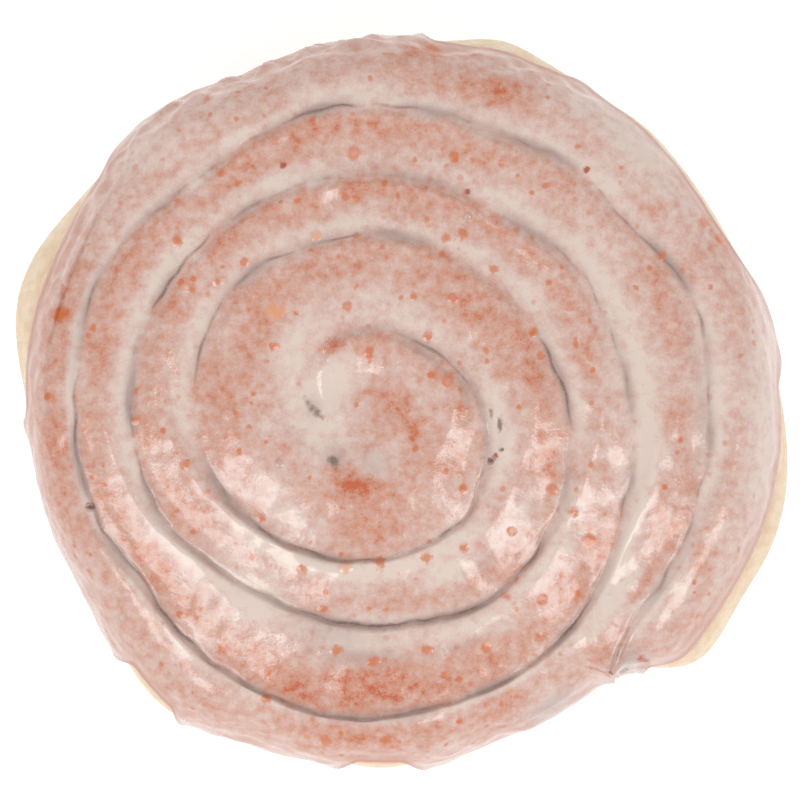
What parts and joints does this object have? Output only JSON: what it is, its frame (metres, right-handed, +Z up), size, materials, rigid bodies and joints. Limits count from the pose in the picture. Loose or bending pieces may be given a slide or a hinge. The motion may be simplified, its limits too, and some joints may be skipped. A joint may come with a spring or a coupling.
{
  "type": "cinnamon roll",
  "caption": "Round glazed cinnamon roll: one strip of fried dough wound in a spiral with cinnamon filling between its turns, pale waist and a flat base.",
  "frame": {"origin": "middle of the roll's outline seen from above, at the flat underside", "axes": "+Z up out of the glazed top; +X along the roll's longer way across, with the strip's tail end towards +X -Y"},
  "size_m": [0.116, 0.1096, 0.0307],
  "materials": {
    "dough": "fried dough: soft brown crust above and below, pale cream waist",
    "filling": "dark moist cinnamon sugar",
    "glaze": "thin translucent sugar glaze, glossy, over brown crust"
  },
  "bodies": {
    "root": {"dough": "dough", "cinnamon_filling": "filling", "glaze": "glaze"}
  },
  "joints": []
}
